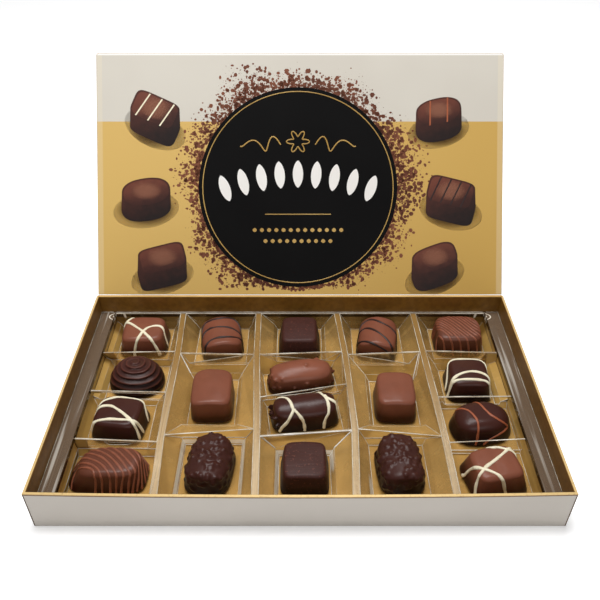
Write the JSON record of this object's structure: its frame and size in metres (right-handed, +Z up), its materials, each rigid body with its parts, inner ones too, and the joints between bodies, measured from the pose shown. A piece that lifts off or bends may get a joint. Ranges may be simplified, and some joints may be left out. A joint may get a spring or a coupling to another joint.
{
  "type": "box of chocolate pralines",
  "caption": "Shallow carton of assorted milk and dark chocolate pralines in a clear formed insert, with its hinged printed lid leaning open.",
  "frame": {"origin": "the middle of the tray's underside", "axes": "+X to the right along the long side, +Y to the back where the lid is creased on, +Z up"},
  "size_m": [0.26, 0.2462, 0.1511],
  "materials": {
    "grey_board": "satin printed board, lined inside with dark gold paper",
    "gold_board": "satin printed board",
    "clear_film": "clear thermoformed film over a gold backing",
    "milk_chocolate": "soft satin milk chocolate",
    "dark_chocolate": "satin dark chocolate"
  },
  "bodies": {
    "box": {"carton_tray": "grey_board", "clear_insert": "clear_film", "praline_milk_crossed_back": "milk_chocolate", "praline_milk_ribbed_long": "milk_chocolate", "praline_milk_striped_left": "milk_chocolate", "praline_milk_plain_left": "milk_chocolate", "praline_milk_lumpy": "milk_chocolate", "praline_milk_striped_right": "milk_chocolate", "praline_milk_plain_right": "milk_chocolate", "praline_milk_ribbed_square": "milk_chocolate", "praline_milk_crossed_front": "milk_chocolate", "praline_dark_dome": "dark_chocolate", "praline_dark_laced": "dark_chocolate", "praline_dark_nut_left": "dark_chocolate", "praline_dark_cube_back": "dark_chocolate", "praline_dark_log_laced": "dark_chocolate", "praline_dark_cube_front": "dark_chocolate", "praline_dark_nut_right": "dark_chocolate", "praline_dark_striped": "dark_chocolate", "praline_dark_heart": "dark_chocolate"},
    "lid": {"lid_panel": "gold_board"}
  },
  "joints": [
    {"name": "lid", "type": "hinge", "parent": "box", "child": "lid", "pos_m": [0, 0.0767, 0.0262], "axis": [1, 0, 0], "range_deg": [0, 125.4]}
  ]
}
